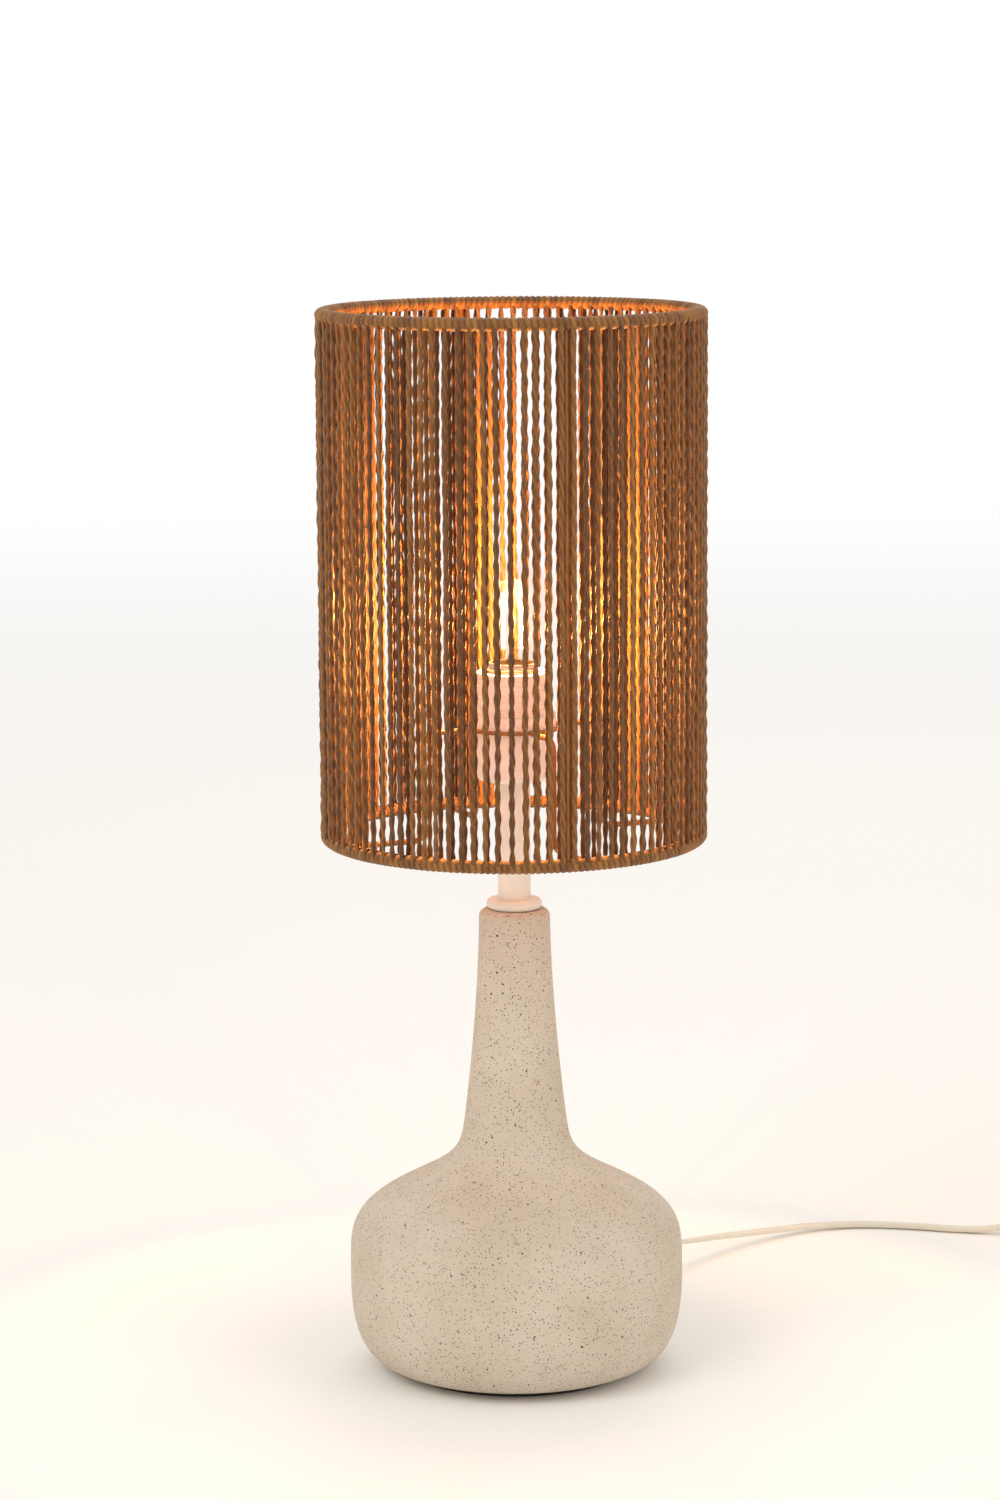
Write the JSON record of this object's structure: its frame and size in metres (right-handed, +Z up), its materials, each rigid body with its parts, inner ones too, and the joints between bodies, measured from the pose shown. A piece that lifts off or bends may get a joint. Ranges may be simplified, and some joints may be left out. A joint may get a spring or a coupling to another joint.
{
  "type": "ceramic table lamp",
  "caption": "Table lamp with a squat speckled stoneware bottle base, a cylinder shade of strung twisted paper cord, a screw bulb and a flat mains cord with switch and plug.",
  "frame": {"origin": "centre of the lamp's footprint, on the table", "axes": "+Z up along the lamp's axis, +X to the right as the picture shows it, +Y away from the viewer"},
  "size_m": [0.604, 0.3593, 0.5547],
  "materials": {
    "stoneware": "matte, fine brown specks",
    "cover": "matte",
    "felt": "felt",
    "steel": "zinc plated",
    "cream_paint": "satin cream",
    "white_plastic": "satin",
    "porcelain": "glazed",
    "brass": "plain",
    "bulb_glass": "clear",
    "stem_glass": "clear",
    "filament": "glowing, warm white",
    "bulb_metal": "satin",
    "black_glass": "gloss",
    "frame_wire": "satin gold-brown",
    "paper_cord": "twisted paper cord",
    "rubber": "matte",
    "cord_jacket": "soft satin",
    "switch_plastic": "satin"
  },
  "bodies": {
    "base": {"ceramic_base": "stoneware", "base_cover": "cover", "felt_pad": "felt", "pipe": "steel", "neck_washer": "steel", "neck_nut": "steel", "neck_disc": "cream_paint", "neck_tube": "cream_paint", "holder_cap": "white_plastic", "holder_shell": "white_plastic", "holder_insulator": "porcelain", "screw_shell": "brass", "centre_contact": "brass", "terminal_screws": "brass", "cord_grommet": "rubber", "inner_cord": "cord_jacket", "cord_lead": "cord_jacket", "switch_lower": "switch_plastic", "switch_upper": "switch_plastic", "switch_pin": "steel", "switch_contacts": "brass", "cord_coil": "cord_jacket", "coil_tie": "rubber", "plug_body": "switch_plastic", "plug_blades": "brass"},
    "shade": {"top_ring": "frame_wire", "bottom_ring": "frame_wire", "shade_struts": "frame_wire", "fitter_ring": "frame_wire", "fitter_arms": "frame_wire", "shade_cord": "paper_cord"},
    "clamp_ring": {"shade_ring": "white_plastic"},
    "bulb_tip": {"bulb_contact": "bulb_metal"},
    "bulb": {"bulb_glass": "bulb_glass", "bulb_stem": "stem_glass", "bulb_filaments": "filament", "bulb_cap": "bulb_metal", "bulb_insulator": "black_glass"},
    "rocker": {"switch_rocker": "white_plastic"}
  },
  "joints": [
    {"name": "shade_turn", "type": "hinge", "parent": "base", "child": "shade", "pos_m": [0, 0, 0.338], "axis": [0, 0, 1], "continuous": true},
    {"name": "clamp_ring_turn", "type": "hinge", "parent": "base", "child": "clamp_ring", "pos_m": [0, 0, 0.343], "axis": [0, 0, 1], "continuous": true},
    {"name": "bulb_lift", "type": "slide", "parent": "base", "child": "bulb_tip", "axis": [0, 0, 1], "range_m": [0, 0.0091]},
    {"name": "bulb_turn", "type": "hinge", "parent": "bulb_tip", "child": "bulb", "pos_m": [0, 0, 0.35], "axis": [0, 0, 1], "range_deg": [0, 900]},
    {"name": "rocker_tilt", "type": "hinge", "parent": "base", "child": "rocker", "pos_m": [0.337, 0.24, 0.0098], "axis": [0, 1, 0], "range_deg": [-9, 9]}
  ],
  "couplings": [
    {"joint": "bulb_lift", "follows": "bulb_turn", "m_per_rad": 0.00057757}
  ]
}
